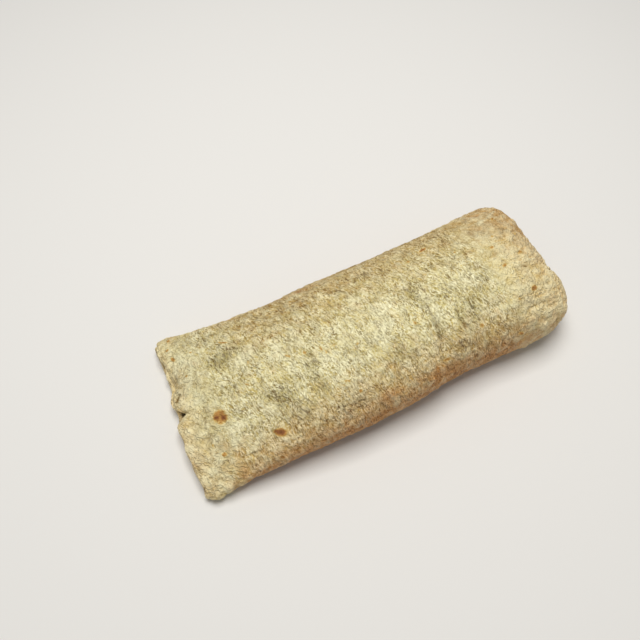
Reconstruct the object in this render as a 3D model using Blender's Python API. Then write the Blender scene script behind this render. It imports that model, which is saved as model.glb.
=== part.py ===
"""A burrito: one large flour tortilla rolled round its filling and shut at both ends.

The roll lies along X, on its flat underside, with its seam below. Its left end (-X) is pressed
thin and wide, and its right end (+X) is plump with rounded corners. At each end the tortilla is
folded back on itself: a rolled outer fold, a groove, a second fold set back inside it, and a
mouth that closes on a slit. Lengths are in metres, +Z is up.
"""

import math

import bmesh
import bpy
import numpy as np

NAME = "burrito"

# ---- The tortilla ----
SHEET = 0.0017  # thickness of one layer
TORTILLA_RADIUS = 0.165  # the flat round that was rolled up

# ---- The roll between its two rims, where the end folds begin ----
LEFT_RIM = -0.1157
RIGHT_RIM = 0.1125
# Place along the roll, front edge, back edge, height of the top above the table
SHAPE = (
    (-0.1160, -0.0432, 0.0570, 0.0125),
    (-0.1040, -0.0421, 0.0560, 0.0170),
    (-0.0880, -0.0424, 0.0499, 0.0265),
    (-0.0550, -0.0442, 0.0438, 0.0390),
    (-0.0100, -0.0450, 0.0427, 0.0440),
    (0.0400, -0.0414, 0.0427, 0.0460),
    (0.0850, -0.0423, 0.0454, 0.0440),
    (0.1180, -0.0421, 0.0501, 0.0380),
)
CORE = 0.42  # height of the widest line, as a share of the section's height
SIDE_POWER = 2.25  # superellipse power of the top and sides
FOOT_POWER = 2.3  # the same for the rounded lower edges
FOOT_ROUND = 0.0150  # most that the lower edges turn in
FOOT_SHARE = 0.45  # the same on a thin section, as a share of its height

# ---- Rounded corners: (run along the roll, how far the edge comes in) ----
LEFT_FRONT = (0.0050, 0.0030)
LEFT_BACK = (0.0035, 0.0016)
LEFT_TOP = (0.0030, 0.0010)
RIGHT_FRONT = (0.0250, 0.0235)
RIGHT_BACK = (0.0130, 0.0067)
RIGHT_TOP = (0.0220, 0.0110)

# ---- Seam: the outer layer's free edge, an arc of the round, under the roll ----
SEAM_MIDDLE = 0.0130  # its place across the underside, at the middle of the roll
SEAM_LIP = 0.0006  # run of the edge's own face
SEAM_SAG = 0.0100  # width over which the layer above sags back to the table
SAG_CURVE = 1.5  # power of that sag: it drops fastest beside the edge
SEAM_MARGIN = 0.0040  # least distance from the edges of the flat underside
SEAM_FADE = 0.0160  # the edge flattens out this near to a rim

# ---- Rims: how far they stray from a straight cut, and how far into the roll that reaches ----
RIM_REACH = 0.0300
# Dents in each end: place across at the top, half width, depth, and how far a dent leans back as it goes
# down, as a share of the way down; a lobe's depth is negative
LEFT_DENTS = (
    (0.0047, 0.0029, 0.0025, 0.90),
    (0.0045, 0.0030, 0.0040, 0.45),
    (0.0110, 0.0060, 0.0016, 0.30),
    (0.0234, 0.0053, 0.0023, 0.10),
)
RIGHT_DENTS = (
    (-0.0194, 0.0116, -0.0036, 0.0),
    (0.0066, 0.0135, 0.0033, 0.0),
)
LEFT_SET_BACK = (0.0120, 0.0350, 0.0050)  # the back half's rim lies further in
LEFT_TOP_SHORT = (0.0060, 0.0440, 0.0026)  # there the top layer stops short of the lower one
TOP_SHORT_FADE = 0.0080  # width over which it begins and ends to do so
TOP_LAYER = (0.50, 0.90)  # shares of the height between which the lower layer gives way to the top one
RIGHT_CREASE = (-0.0100, 0.0030, 0.0013, 0.0280)  # place, half width, depth, length

# ---- End folds ----
FOLD = SHEET  # radius of the rolled outer fold: the tortilla doubled over
GROOVE_AT = 2.15 * FOLD  # the groove inside it: distance from the rim
FOLD_SHARE = 0.60  # most of the way to the slit that the outer fold and groove take
SLIT_OPEN = 0.08  # share of the way left open at the slit
# Height of the slit as a share of the rim's, its bow, its distance from front and back
LEFT_SLIT = (0.46, 0.00, 0.0060, 0.0060)
RIGHT_SLIT = (0.40, 0.10, 0.0048, 0.0130)
# The inner cushion: depth at the slit, bulge, depth at the groove, the width from which it is full
LEFT_CUSHION = (0.0005, 0.0030, 0.0000, 0.0035)
RIGHT_CUSHION = (0.0038, 0.0042, 0.0026, 0.0080)
PLEATS = ((7, 0.0004), (12, 0.0003))  # folds across the cushion: count round the rim, rise
FRAY = ((5, 0.0003), (13, 0.0002))  # waves in the rims: count round the rim, rise

# ---- Lumps and dips of the filling: place along, place across, reach along, reach across, rise ----
FREE_SIDE = (0.10, 0.50)  # shares of the height between which they set in, above the table
LUMPS = (
    (-0.0620, 0.0040, 0.0160, 0.0180, 0.0011),
    (-0.0450, -0.0270, 0.0060, 0.0150, -0.0018),
    (-0.0300, -0.0180, 0.0120, 0.0180, 0.0013),
    (-0.0060, -0.0080, 0.0120, 0.0160, 0.0009),
    (0.0100, -0.0340, 0.0110, 0.0120, 0.0009),
    (0.0250, -0.0280, 0.0050, 0.0160, -0.0016),
    (0.0340, -0.0040, 0.0120, 0.0200, 0.0010),
    (0.0500, -0.0320, 0.0110, 0.0110, -0.0010),
    (0.0780, -0.0020, 0.0150, 0.0300, 0.0011),
    (0.0500, 0.0180, 0.0110, 0.0120, -0.0009),
    (-0.0470, 0.0300, 0.0140, 0.0110, -0.0013),
    (-0.0830, 0.0170, 0.0100, 0.0110, -0.0010),
    (-0.0800, -0.0310, 0.0110, 0.0110, -0.0008),
)

# ---- Fineness of the mesh ----
PLACES = 31
CROWDING = 0.65  # how strongly the places crowd towards the rims, from 0 to 1
TOP_STEPS = 34
EDGE_STEPS = 4
FLAP_STEPS = 6
SAG_STEPS = 3
REST_STEPS = 2
FOLD_STEPS = 4
CUSHION_STEPS = 6

TORTILLA_COLOUR = (0.585, 0.440, 0.235, 1.0)
TORTILLA_ROUGHNESS = 0.78


def ease(low, high, value):
    """0 below low, 1 above high, and a smooth step between."""
    share = np.clip((value - low) / (high - low), 0.0, 1.0)
    return share * share * (3.0 - 2.0 * share)


def hill(value, middle, reach):
    """1 at the middle, falling off smoothly on both sides."""
    return np.exp(-(((value - middle) / reach) ** 2))


def through(places, values, x):
    """A smooth curve through the given values."""
    places, values = np.array(places), np.array(values)
    slopes = np.gradient(values, places)
    left = np.clip(np.searchsorted(places, x) - 1, 0, len(places) - 2)
    gap = places[left + 1] - places[left]
    share = np.clip((x - places[left]) / gap, 0.0, 1.0)
    start = (1.0 + 2.0 * share) * (1.0 - share) ** 2
    start_slope = gap * share * (1.0 - share) ** 2
    end_slope = -gap * share**2 * (1.0 - share)
    curve = values[left] * start + values[left + 1] * (1.0 - start)
    return curve + slopes[left] * start_slope + slopes[left + 1] * end_slope


def rounded(distance, corner):
    """How far an edge has come in at this distance from the rim."""
    run, drop = corner
    share = np.clip(1.0 - distance / run, 0.0, 1.0)
    return drop * (1.0 - np.sqrt(1.0 - share**2))


def roll_places(count):
    """Places along the roll from rim to rim, closer together near both."""
    even = np.linspace(0.0, 1.0, count)
    crowded = 0.5 - 0.5 * np.cos(math.pi * even)
    return LEFT_RIM + (RIGHT_RIM - LEFT_RIM) * (even + CROWDING * (crowded - even))


def roll_sizes(x):
    """Middle line, half width and height of the roll, each as a column over its places."""
    places, fronts, backs, heights = zip(*SHAPE)
    left, right = x - LEFT_RIM, RIGHT_RIM - x
    front = through(places, fronts, x) + rounded(left, LEFT_FRONT) + rounded(right, RIGHT_FRONT)
    back = through(places, backs, x) - rounded(left, LEFT_BACK) - rounded(right, RIGHT_BACK)
    height = through(places, heights, x) - rounded(left, LEFT_TOP) - rounded(right, RIGHT_TOP)
    return ((front + back) / 2)[:, None], ((back - front) / 2)[:, None], height[:, None]


def upper_arc(middle, half, height, steps):
    """Back side, over the top, to the front side."""
    angle = np.linspace(0.0, math.pi, steps, endpoint=False)
    side, rise = np.cos(angle), np.sin(angle)
    side = np.sign(side) * np.abs(side) ** (2.0 / SIDE_POWER)
    rise = rise ** (2.0 / SIDE_POWER)
    core = CORE * height
    return middle + half * side, core + (height - core) * rise


def lower_edge(middle, half, foot, height, steps, side):
    """From the widest line down to the table; side is -1 at the front and 1 at the back."""
    angle = np.linspace(0.0, math.pi / 2, steps, endpoint=False)
    out = np.cos(angle) ** (2.0 / FOOT_POWER)
    down = np.sin(angle) ** (2.0 / FOOT_POWER)
    return middle + side * (foot + (half - foot) * out), CORE * height * (1.0 - down)


def seam_line(x, middle, foot):
    """Where the outer layer's free edge lies under the roll."""
    sagitta = TORTILLA_RADIUS - np.sqrt(TORTILLA_RADIUS**2 - x**2)
    low = middle - foot + SEAM_MARGIN
    high = middle + foot - SEAM_MARGIN - SEAM_SAG
    return np.clip(SEAM_MIDDLE - sagitta, low, high)


def underside(x, middle, foot, steps):
    """The flat that rests on the table, from front to back, with the step at the seam."""
    flap_steps, sag_steps, rest_steps = steps
    edge = seam_line(x, middle, foot)
    flap = np.linspace(0.0, 1.0, flap_steps)
    sag = np.linspace(0.0, 1.0, sag_steps)
    rest = np.linspace(0.0, 1.0, rest_steps + 1)[1:]
    flap_y = (middle - foot) + (edge - middle + foot) * flap
    sag_y = edge + SEAM_LIP + (SEAM_SAG - SEAM_LIP) * sag
    rest_y = edge + SEAM_SAG + (middle + foot - edge - SEAM_SAG) * rest
    near_rim = np.minimum(x - LEFT_RIM, RIGHT_RIM - x)
    sag_z = SHEET * ease(0.0, SEAM_FADE, near_rim) * (1.0 - sag) ** SAG_CURVE
    y = np.hstack((flap_y, sag_y, rest_y))
    z = np.hstack((0.0 * flap_y, sag_z, 0.0 * rest_y))
    return y, z


def roll_sections(x, steps):
    """The roll's skin: one ring of points for each place along it, back side first."""
    top_steps, edge_steps, under_steps = steps
    middle, half, height = roll_sizes(x)
    foot = half - np.minimum(FOOT_ROUND, FOOT_SHARE * height)
    place = x[:, None]
    pieces = (
        upper_arc(middle, half, height, top_steps),
        lower_edge(middle, half, foot, height, edge_steps, -1.0),
        underside(place, middle, foot, under_steps),
        [part[:, ::-1] for part in lower_edge(middle, half, foot, height, edge_steps, 1.0)],
    )
    y = np.hstack([piece[0] for piece in pieces])
    z = np.hstack([piece[1] for piece in pieces])
    y, z = y[:, :-1], z[:, :-1]  # the last point is the first one again
    return np.stack((np.broadcast_to(place, y.shape), y, z), axis=-1)


def dented(y, below, dents):
    """How far the dents take an end in, at this place across it and this far below its top."""
    return sum(depth * hill(y, middle + lean * below, width) for middle, width, depth, lean in dents)


def left_shift(points, rise):
    """How far the left end lies inside a straight cut, at points across it; rise is its height."""
    y, z = points[:, 1], points[:, 2]
    start, end, back = LEFT_SET_BACK
    shift = dented(y, rise - z, LEFT_DENTS) + back * ease(start, end, y)
    start, end, short = LEFT_TOP_SHORT
    begun = ease(start, start + TOP_SHORT_FADE, y)
    top = ease(*TOP_LAYER, z / rise)
    return shift + top * short * begun * (1.0 - ease(end - TOP_SHORT_FADE, end, y))


def right_shift(points, rise):
    """How far the right end lies outside a straight cut."""
    return -dented(points[:, 1], rise - points[:, 2], RIGHT_DENTS)


def waves(table, rim):
    """Small uneven waves round a rim, by the distance along it."""
    y, z = rim[:, 1], rim[:, 2]
    steps = np.hypot(np.diff(y, append=y[0]), np.diff(z, append=z[0]))
    turn = 2.0 * math.pi * (np.cumsum(steps) - steps) / steps.sum()
    return sum(rise * np.sin(count * turn + count) for count, rise in table)


def shift_rims(roll):
    """Moves the skin near each rim along the roll, to the rim's own uneven line."""
    left = left_shift(roll[0], roll[0, :, 2].max()) + waves(FRAY, roll[0])
    right = right_shift(roll[-1], roll[-1, :, 2].max()) + waves(FRAY, roll[-1])
    x = roll[..., 0].copy()
    near_left = np.clip(1.0 - (x - LEFT_RIM) / RIM_REACH, 0.0, 1.0) ** 2
    near_right = np.clip(1.0 - (RIGHT_RIM - x) / RIM_REACH, 0.0, 1.0) ** 2
    roll[..., 0] = x + near_left * left + near_right * right


def outward(surface):
    """Unit normals of a grid of points whose rows close on themselves."""
    along = np.gradient(surface, axis=0)
    around = np.roll(surface, -1, axis=1) - np.roll(surface, 1, axis=1)
    normal = np.cross(around, along)
    return normal / np.linalg.norm(normal, axis=-1, keepdims=True)


def raise_lumps(roll):
    """Presses the filling's lumps and dips, and the right end's crease, into the upper skin."""
    x, y, z = roll[..., 0], roll[..., 1], roll[..., 2]
    rise = np.zeros_like(x)
    for place, across, reach, reach_across, height in LUMPS:
        rise += height * hill(x, place, reach) * hill(y, across, reach_across)
    across, width, depth, length = RIGHT_CREASE
    rise -= depth * hill(y, across, width) * ease(RIGHT_RIM - length, RIGHT_RIM, x)
    free = ease(*FREE_SIDE, z / z.max(axis=1, keepdims=True))
    roll += outward(roll) * (rise * free)[..., None]


def way_to_slit(rim, slit):
    """Direction and distance, across the end, from each rim point to the closing slit."""
    level, bow, from_front, from_back = slit
    y, z = rim[:, 1], rim[:, 2]
    slit_y = np.clip(y, y.min() + from_front, y.max() - from_back)
    off_middle = 2.0 * (slit_y - y.min()) / (y.max() - y.min()) - 1.0
    slit_z = z.max() * (level + bow * off_middle**2)
    way = np.stack((np.zeros_like(y), slit_y - y, slit_z - z), axis=-1)
    distance = np.linalg.norm(way, axis=-1, keepdims=True)
    return way / distance, distance


def end_folds(rim, side, slit, cushion, shift):
    """Rings from a rim in to the closing slit; side is -1 at the left end and 1 at the right.

    shift is the function that moved the rim: what comes in from above and from below meets at the slit.
    """
    depth, bulge, groove, full_width = cushion
    direction, distance = way_to_slit(rim, slit)
    squeeze = np.minimum(1.0, FOLD_SHARE * distance / GROOVE_AT)
    width = (1.0 - SLIT_OPEN) * distance - GROOVE_AT * squeeze
    full = np.minimum(1.0, width / full_width)
    pleats = waves(PLEATS, rim)[:, None]
    rise = rim[:, 2].max()
    rings = []
    for angle in np.linspace(0.0, math.pi, FOLD_STEPS + 1)[1:]:
        inward = FOLD * (1.0 - math.cos(angle)) * squeeze
        rings.append((inward, FOLD * math.sin(angle) * squeeze))
    for angle in np.linspace(0.0, math.pi, CUSHION_STEPS + 1):
        share = 0.5 - 0.5 * math.cos(angle)
        inward = GROOVE_AT * squeeze + share * width
        sunk = groove + share * (depth - groove)
        rings.append((inward, (bulge * math.sin(angle) - sunk + pleats * math.sin(angle)) * full))
    placed = []
    for inward, out in rings:
        ring = rim + direction * inward
        ring[:, 0] += shift(ring, rise) - shift(rim, rise) + side * np.ravel(out)
        placed.append(ring)
    return placed


def burrito_rings():
    """Every ring of the surface, from the left end's slit to the right end's."""
    under_steps = (FLAP_STEPS, SAG_STEPS, REST_STEPS)
    roll = roll_sections(roll_places(PLACES), (TOP_STEPS, EDGE_STEPS, under_steps))
    shift_rims(roll)
    raise_lumps(roll)
    left = end_folds(roll[0], -1.0, LEFT_SLIT, LEFT_CUSHION, left_shift)
    right = end_folds(roll[-1], 1.0, RIGHT_SLIT, RIGHT_CUSHION, right_shift)
    rings = np.array(left[::-1] + list(roll) + right)
    low, high = rings.min(axis=(0, 1)), rings.max(axis=(0, 1))
    rings -= ((low[0] + high[0]) / 2, (low[1] + high[1]) / 2, low[2])
    return rings


def loft(rings):
    """Skins the rings one to the next and closes the last ring at each end."""
    bm = bmesh.new()
    rows = [[bm.verts.new(point) for point in ring] for ring in rings]
    for row, following in zip(rows, rows[1:]):
        for i in range(len(row)):
            j = (i + 1) % len(row)
            bm.faces.new((row[i], row[j], following[j], following[i]))
    bm.faces.new(rows[0][::-1])
    bm.faces.new(rows[-1])
    bmesh.ops.recalc_face_normals(bm, faces=bm.faces)
    bmesh.ops.triangulate(bm, faces=bm.faces)
    return bm


def tortilla_material():
    material = bpy.data.materials.new("tortilla")
    material.use_nodes = True
    shader = material.node_tree.nodes["Principled BSDF"]
    shader.inputs["Base Color"].default_value = TORTILLA_COLOUR
    shader.inputs["Roughness"].default_value = TORTILLA_ROUGHNESS
    return material


def make_burrito(collection):
    mesh = bpy.data.meshes.new(NAME)
    bm = loft(burrito_rings())
    bm.to_mesh(mesh)
    bm.free()
    mesh.shade_smooth()
    mesh.materials.append(tortilla_material())
    burrito = bpy.data.objects.new(NAME, mesh)
    collection.objects.link(burrito)


def main():
    for old in list(bpy.data.objects):
        bpy.data.objects.remove(old)
    collection = bpy.data.collections.new(NAME)
    bpy.context.scene.collection.children.link(collection)
    make_burrito(collection)


main()
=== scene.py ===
"""The looks of the burrito: its skin at full fineness, a pale studio floor, soft light and the camera.

The skin repeats the solid's form from the same named sizes on a much finer grid, then adds what the solid
leaves out: the puffs, creases and streaks of the dough, and its toasted spots. Two distances run over the
skin: u along the roll, and v round it from its top line, positive towards the back. Lengths are in metres,
but the material's patterns are sized in millimetres of u and v. +Z is up.
"""

import math

import bpy
import numpy as np
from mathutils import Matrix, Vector, noise


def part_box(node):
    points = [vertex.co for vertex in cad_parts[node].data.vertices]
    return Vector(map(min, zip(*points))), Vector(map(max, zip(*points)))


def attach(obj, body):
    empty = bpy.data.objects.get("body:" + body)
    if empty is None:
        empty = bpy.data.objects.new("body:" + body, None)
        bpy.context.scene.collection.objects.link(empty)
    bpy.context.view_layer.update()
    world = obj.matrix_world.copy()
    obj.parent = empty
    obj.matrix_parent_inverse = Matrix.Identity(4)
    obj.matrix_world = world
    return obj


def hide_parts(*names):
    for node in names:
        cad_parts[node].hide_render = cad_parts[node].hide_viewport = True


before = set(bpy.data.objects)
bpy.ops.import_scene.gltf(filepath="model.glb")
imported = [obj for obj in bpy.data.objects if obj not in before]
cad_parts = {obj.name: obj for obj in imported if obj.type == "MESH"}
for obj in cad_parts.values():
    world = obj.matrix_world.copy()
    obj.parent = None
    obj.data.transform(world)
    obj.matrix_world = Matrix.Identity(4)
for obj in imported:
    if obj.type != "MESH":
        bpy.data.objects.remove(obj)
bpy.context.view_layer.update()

# ======== The solid's own sizes ========

SHEET = 0.0017  # thickness of one layer
TORTILLA_RADIUS = 0.165  # the flat round that was rolled up

# ---- The roll between its two rims, where the end folds begin ----
LEFT_RIM = -0.1157
RIGHT_RIM = 0.1125
# Place along the roll, front edge, back edge, height of the top above the table
SHAPE = (
    (-0.1160, -0.0432, 0.0570, 0.0125),
    (-0.1040, -0.0421, 0.0560, 0.0170),
    (-0.0880, -0.0424, 0.0499, 0.0265),
    (-0.0550, -0.0442, 0.0438, 0.0390),
    (-0.0100, -0.0450, 0.0427, 0.0440),
    (0.0400, -0.0414, 0.0427, 0.0460),
    (0.0850, -0.0423, 0.0454, 0.0440),
    (0.1180, -0.0421, 0.0501, 0.0380),
)
CORE = 0.42  # height of the widest line, as a share of the section's height
SIDE_POWER = 2.25  # superellipse power of the top and sides
FOOT_POWER = 2.3  # the same for the rounded lower edges
FOOT_ROUND = 0.0150  # most that the lower edges turn in
FOOT_SHARE = 0.45  # the same on a thin section, as a share of its height

# ---- Rounded corners: (run along the roll, how far the edge comes in) ----
LEFT_FRONT = (0.0050, 0.0030)
LEFT_BACK = (0.0035, 0.0016)
LEFT_TOP = (0.0030, 0.0010)
RIGHT_FRONT = (0.0250, 0.0235)
RIGHT_BACK = (0.0130, 0.0067)
RIGHT_TOP = (0.0220, 0.0110)

# ---- Seam: the outer layer's free edge, an arc of the round, under the roll ----
SEAM_MIDDLE = 0.0130  # its place across the underside, at the middle of the roll
SEAM_LIP = 0.0006  # run of the edge's own face
SEAM_SAG = 0.0100  # width over which the layer above sags back to the table
SAG_CURVE = 1.5  # power of that sag: it drops fastest beside the edge
SEAM_MARGIN = 0.0040  # least distance from the edges of the flat underside
SEAM_FADE = 0.0160  # the edge flattens out this near to a rim

# ---- Rims: how far they stray from a straight cut, and how far into the roll that reaches ----
RIM_REACH = 0.0300
# Dents in each end: place across at the top, half width, depth, and how far a dent leans back as it goes
# down, as a share of the way down; a lobe's depth is negative
LEFT_DENTS = (
    (0.0047, 0.0029, 0.0025, 0.90),
    (0.0045, 0.0030, 0.0040, 0.45),
    (0.0110, 0.0060, 0.0016, 0.30),
    (0.0234, 0.0053, 0.0023, 0.10),
)
RIGHT_DENTS = (
    (-0.0194, 0.0116, -0.0036, 0.0),
    (0.0066, 0.0135, 0.0033, 0.0),
)
LEFT_SET_BACK = (0.0120, 0.0350, 0.0050)  # the back half's rim lies further in
LEFT_TOP_SHORT = (0.0060, 0.0440, 0.0026)  # there the top layer stops short of the lower one
TOP_SHORT_FADE = 0.0080  # width over which it begins and ends to do so
TOP_LAYER = (0.50, 0.90)  # shares of the height between which the lower layer gives way to the top one
RIGHT_CREASE = (-0.0100, 0.0030, 0.0013, 0.0280)  # place, half width, depth, length

# ---- End folds ----
FOLD = SHEET  # radius of the rolled outer fold: the tortilla doubled over
GROOVE_AT = 2.15 * FOLD  # the groove inside it: distance from the rim
FOLD_SHARE = 0.60  # most of the way to the slit that the outer fold and groove take
SLIT_OPEN = 0.08  # share of the way left open at the slit
# Height of the slit as a share of the rim's, its bow, its distance from front and back
LEFT_SLIT = (0.46, 0.00, 0.0060, 0.0060)
RIGHT_SLIT = (0.40, 0.10, 0.0048, 0.0130)
# The inner cushion: depth at the slit, bulge, depth at the groove, the width from which it is full
LEFT_CUSHION = (0.0005, 0.0030, 0.0000, 0.0035)
RIGHT_CUSHION = (0.0038, 0.0042, 0.0026, 0.0080)
PLEATS = ((7, 0.0004), (12, 0.0003))  # folds across the cushion: count round the rim, rise
FRAY = ((5, 0.0003), (13, 0.0002))  # waves in the rims: count round the rim, rise

# ---- Lumps and dips of the filling: place along, place across, reach along, reach across, rise ----
FREE_SIDE = (0.10, 0.50)  # shares of the height between which they set in, above the table
LUMPS = (
    (-0.0620, 0.0040, 0.0160, 0.0180, 0.0011),
    (-0.0450, -0.0270, 0.0060, 0.0150, -0.0018),
    (-0.0300, -0.0180, 0.0120, 0.0180, 0.0013),
    (-0.0060, -0.0080, 0.0120, 0.0160, 0.0009),
    (0.0100, -0.0340, 0.0110, 0.0120, 0.0009),
    (0.0250, -0.0280, 0.0050, 0.0160, -0.0016),
    (0.0340, -0.0040, 0.0120, 0.0200, 0.0010),
    (0.0500, -0.0320, 0.0110, 0.0110, -0.0010),
    (0.0780, -0.0020, 0.0150, 0.0300, 0.0011),
    (0.0500, 0.0180, 0.0110, 0.0120, -0.0009),
    (-0.0470, 0.0300, 0.0140, 0.0110, -0.0013),
    (-0.0830, 0.0170, 0.0100, 0.0110, -0.0010),
    (-0.0800, -0.0310, 0.0110, 0.0110, -0.0008),
)

# ---- Fineness of the skin: 224 columns by 442 rings, just under 200,000 triangles ----
PLACES = 388  # rings along the roll, from rim to rim
CROWDING = 0.30  # how much closer together they stand near both rims: 0 is even
TOP_STEPS = 168  # columns from the back's widest line over the top to the front's
EDGE_STEPS = 14  # down each lower edge
FLAP_STEPS = 16  # across the underside, up to the seam
SAG_STEPS = 5  # across the sag behind it
REST_STEPS = 8  # and on to the back
FOLD_STEPS = 9  # rings over an outer fold
CUSHION_STEPS = 15  # and over an inner cushion
THROAT = ((0.0010, 0.050), (0.0022, 0.008))  # rings inside a slit: depth below the cushion, share left open
USUAL_HALF, USUAL_RISE = 0.0440, 0.0255  # the section on which the columns are spaced evenly
SPACING_STEPS = 4000  # steps in which its length is measured


# ======== Form ========


def ease(low, high, value):
    """0 below low, 1 above high, and a smooth step between."""
    share = np.clip((value - low) / (high - low), 0.0, 1.0)
    return share * share * (3.0 - 2.0 * share)


def hill(value, middle, reach):
    """1 at the middle, falling off smoothly on both sides."""
    return np.exp(-(((value - middle) / reach) ** 2))


def through(places, values, x):
    """A smooth curve through the given values."""
    places, values = np.array(places), np.array(values)
    slopes = np.gradient(values, places)
    left = np.clip(np.searchsorted(places, x) - 1, 0, len(places) - 2)
    gap = places[left + 1] - places[left]
    share = np.clip((x - places[left]) / gap, 0.0, 1.0)
    start = (1.0 + 2.0 * share) * (1.0 - share) ** 2
    start_slope = gap * share * (1.0 - share) ** 2
    end_slope = -gap * share**2 * (1.0 - share)
    curve = values[left] * start + values[left + 1] * (1.0 - start)
    return curve + slopes[left] * start_slope + slopes[left + 1] * end_slope


def rounded(distance, corner):
    """How far an edge has come in at this distance from the rim."""
    run, drop = corner
    share = np.clip(1.0 - distance / run, 0.0, 1.0)
    return drop * (1.0 - np.sqrt(1.0 - share**2))


def roll_places(count):
    """Places along the roll from rim to rim, closer together near both."""
    even = np.linspace(0.0, 1.0, count)
    crowded = 0.5 - 0.5 * np.cos(math.pi * even)
    return LEFT_RIM + (RIGHT_RIM - LEFT_RIM) * (even + CROWDING * (crowded - even))


def roll_sizes(x):
    """Middle line, half width and height of the roll, each as a column over its places."""
    places, fronts, backs, heights = zip(*SHAPE)
    left, right = x - LEFT_RIM, RIGHT_RIM - x
    front = through(places, fronts, x) + rounded(left, LEFT_FRONT) + rounded(right, RIGHT_FRONT)
    back = through(places, backs, x) - rounded(left, LEFT_BACK) - rounded(right, RIGHT_BACK)
    height = through(places, heights, x) - rounded(left, LEFT_TOP) - rounded(right, RIGHT_TOP)
    return ((front + back) / 2)[:, None], ((back - front) / 2)[:, None], height[:, None]


def even_angles(power, end, steps):
    """Angles that space points evenly along a superellipse of the usual size."""
    fine = np.linspace(0.0, end, SPACING_STEPS)
    out = USUAL_HALF * np.sign(np.cos(fine)) * np.abs(np.cos(fine)) ** (2.0 / power)
    up = USUAL_RISE * np.sin(fine) ** (2.0 / power)
    run = np.concatenate(((0.0,), np.cumsum(np.hypot(np.diff(out), np.diff(up)))))
    return np.interp(np.linspace(0.0, run[-1], steps, endpoint=False), run, fine)


def upper_arc(middle, half, height, steps):
    """Back side, over the top, to the front side."""
    angle = even_angles(SIDE_POWER, math.pi, steps)
    side, rise = np.cos(angle), np.sin(angle)
    side = np.sign(side) * np.abs(side) ** (2.0 / SIDE_POWER)
    rise = rise ** (2.0 / SIDE_POWER)
    core = CORE * height
    return middle + half * side, core + (height - core) * rise


def lower_edge(middle, half, foot, height, steps, side):
    """From the widest line down to the table; side is -1 at the front and 1 at the back."""
    angle = np.linspace(0.0, math.pi / 2, steps, endpoint=False)
    out = np.cos(angle) ** (2.0 / FOOT_POWER)
    down = np.sin(angle) ** (2.0 / FOOT_POWER)
    return middle + side * (foot + (half - foot) * out), CORE * height * (1.0 - down)


def seam_line(x, middle, foot):
    """Where the outer layer's free edge lies under the roll."""
    sagitta = TORTILLA_RADIUS - np.sqrt(TORTILLA_RADIUS**2 - x**2)
    low = middle - foot + SEAM_MARGIN
    high = middle + foot - SEAM_MARGIN - SEAM_SAG
    return np.clip(SEAM_MIDDLE - sagitta, low, high)


def underside(x, middle, foot):
    """The flat that rests on the table, from front to back, with the step at the seam."""
    edge = seam_line(x, middle, foot)
    flap = np.linspace(0.0, 1.0, FLAP_STEPS)
    sag = np.linspace(0.0, 1.0, SAG_STEPS)
    rest = np.linspace(0.0, 1.0, REST_STEPS + 1)[1:]
    flap_y = (middle - foot) + (edge - middle + foot) * flap
    sag_y = edge + SEAM_LIP + (SEAM_SAG - SEAM_LIP) * sag
    rest_y = edge + SEAM_SAG + (middle + foot - edge - SEAM_SAG) * rest
    near_rim = np.minimum(x - LEFT_RIM, RIGHT_RIM - x)
    sag_z = SHEET * ease(0.0, SEAM_FADE, near_rim) * (1.0 - sag) ** SAG_CURVE
    y = np.hstack((flap_y, sag_y, rest_y))
    z = np.hstack((0.0 * flap_y, sag_z, 0.0 * rest_y))
    return y, z


def roll_sections(x):
    """The roll's skin: one ring of points for each place along it, back side first."""
    middle, half, height = roll_sizes(x)
    foot = half - np.minimum(FOOT_ROUND, FOOT_SHARE * height)
    place = x[:, None]
    pieces = (
        upper_arc(middle, half, height, TOP_STEPS),
        lower_edge(middle, half, foot, height, EDGE_STEPS, -1.0),
        underside(place, middle, foot),
        [part[:, ::-1] for part in lower_edge(middle, half, foot, height, EDGE_STEPS, 1.0)],
    )
    y = np.hstack([piece[0] for piece in pieces])
    z = np.hstack([piece[1] for piece in pieces])
    y, z = y[:, :-1], z[:, :-1]  # the last point is the first one again
    return np.stack((np.broadcast_to(place, y.shape), y, z), axis=-1)


def dented(y, below, dents):
    """How far the dents take an end in, at this place across it and this far below its top."""
    return sum(depth * hill(y, middle + lean * below, width) for middle, width, depth, lean in dents)


def left_shift(points, rise):
    """How far the left end lies inside a straight cut, at points across it; rise is its height."""
    y, z = points[:, 1], points[:, 2]
    start, end, back = LEFT_SET_BACK
    shift = dented(y, rise - z, LEFT_DENTS) + back * ease(start, end, y)
    start, end, short = LEFT_TOP_SHORT
    begun = ease(start, start + TOP_SHORT_FADE, y)
    top = ease(*TOP_LAYER, z / rise)
    return shift + top * short * begun * (1.0 - ease(end - TOP_SHORT_FADE, end, y))


def right_shift(points, rise):
    """How far the right end lies inside a straight cut, as a move along the roll."""
    return -dented(points[:, 1], rise - points[:, 2], RIGHT_DENTS)


def waves(table, rim):
    """Small uneven waves round a rim, by the distance along it."""
    y, z = rim[:, 1], rim[:, 2]
    steps = np.hypot(np.diff(y, append=y[0]), np.diff(z, append=z[0]))
    turn = 2.0 * math.pi * (np.cumsum(steps) - steps) / steps.sum()
    return sum(rise * np.sin(count * turn + count) for count, rise in table)


def shift_rims(roll):
    """Moves the skin near each rim along the roll, to the rim's own uneven line."""
    left = left_shift(roll[0], roll[0, :, 2].max()) + waves(FRAY, roll[0])
    right = right_shift(roll[-1], roll[-1, :, 2].max()) + waves(FRAY, roll[-1])
    x = roll[..., 0].copy()
    near_left = np.clip(1.0 - (x - LEFT_RIM) / RIM_REACH, 0.0, 1.0) ** 2
    near_right = np.clip(1.0 - (RIGHT_RIM - x) / RIM_REACH, 0.0, 1.0) ** 2
    roll[..., 0] = x + near_left * left + near_right * right


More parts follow.
